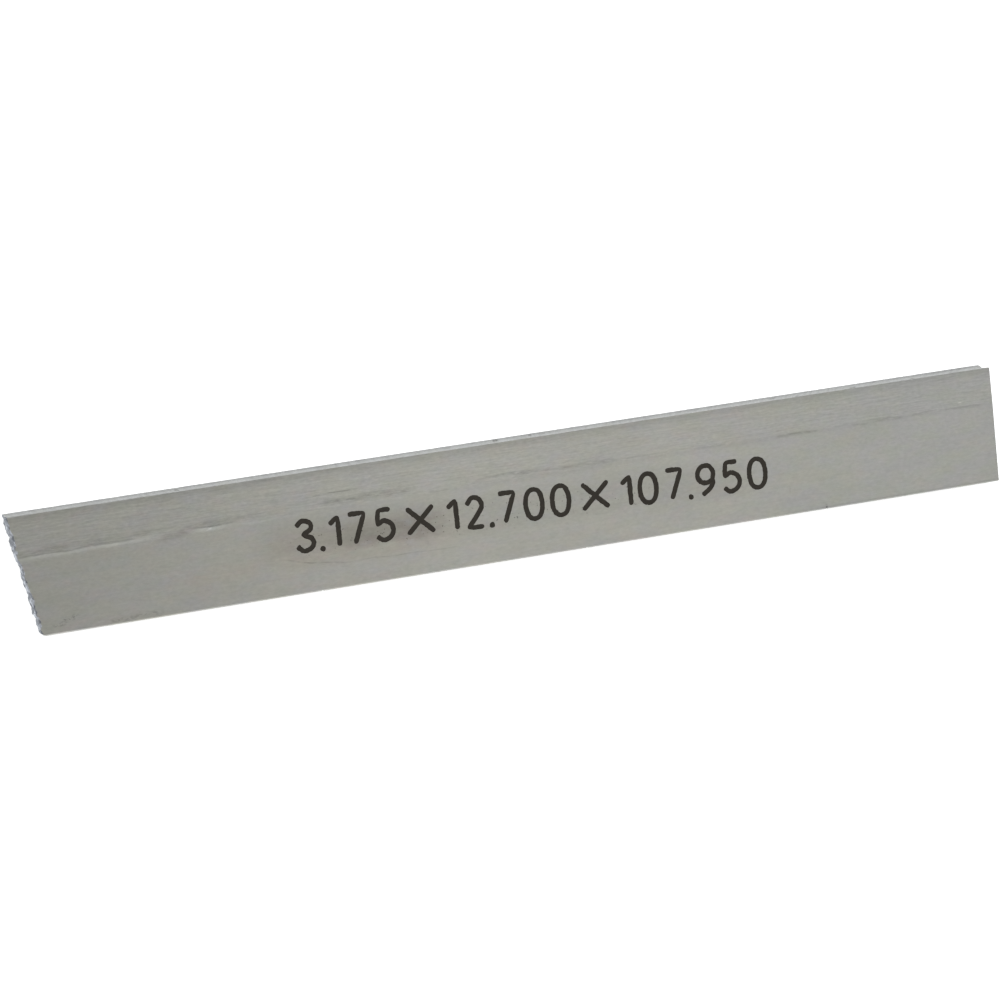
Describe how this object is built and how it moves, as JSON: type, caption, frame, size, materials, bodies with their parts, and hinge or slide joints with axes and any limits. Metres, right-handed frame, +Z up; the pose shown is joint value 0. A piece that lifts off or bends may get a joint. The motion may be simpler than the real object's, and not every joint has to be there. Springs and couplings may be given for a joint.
{
  "type": "parting blade",
  "caption": "Flat ground steel parting blade with a parallel land below its cutting edge, relieved flanks and a rough cropped front end, clamped in a lathe holder to cut off turned work.",
  "frame": {"origin": "on the surface that the blade lies on, below the middle of its length and height", "axes": "+X from the cropped end to the heel, +Y towards the cutting edge, +Z up out of the flank that it lies on"},
  "size_m": [0.108, 0.0128, 0.0033],
  "materials": {
    "ground_steel": "surface ground satin steel with faint lengthwise grinding lines, cropped end left rough"
  },
  "bodies": {
    "root": {"blade": "ground_steel"}
  },
  "joints": []
}
